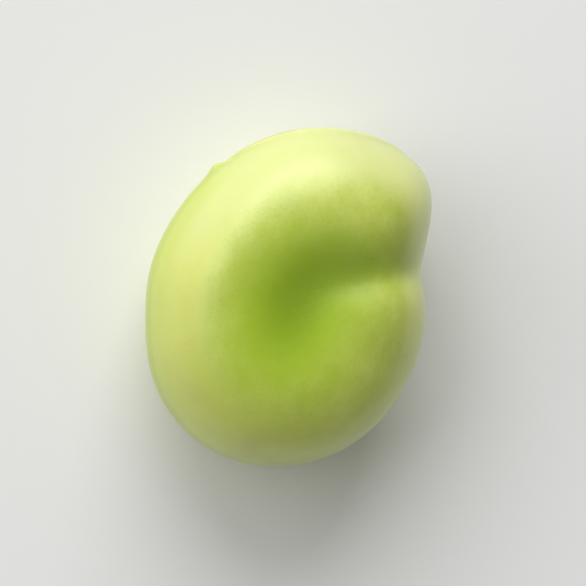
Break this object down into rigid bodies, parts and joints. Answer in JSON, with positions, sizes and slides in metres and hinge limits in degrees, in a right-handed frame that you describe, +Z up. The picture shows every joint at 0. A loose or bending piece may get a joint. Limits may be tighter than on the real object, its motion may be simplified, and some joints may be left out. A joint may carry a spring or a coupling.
{
  "type": "fava bean",
  "caption": "Fresh shelled fava bean: a plump kidney-shaped green seed with dimpled faces, a fold running in from its side, and a long scar with a slit in its end.",
  "frame": {"origin": "on the surface that the bean rests on, under the middle of its box", "axes": "+Z up, through the bean's thickness; Y along its length, with the eye end at -Y; X across its width, with the notch and the fold at -X"},
  "size_m": [0.018, 0.0224, 0.0128],
  "materials": {
    "seed_coat": "satin"
  },
  "bodies": {
    "root": {"fava_bean": "seed_coat"}
  },
  "joints": []
}
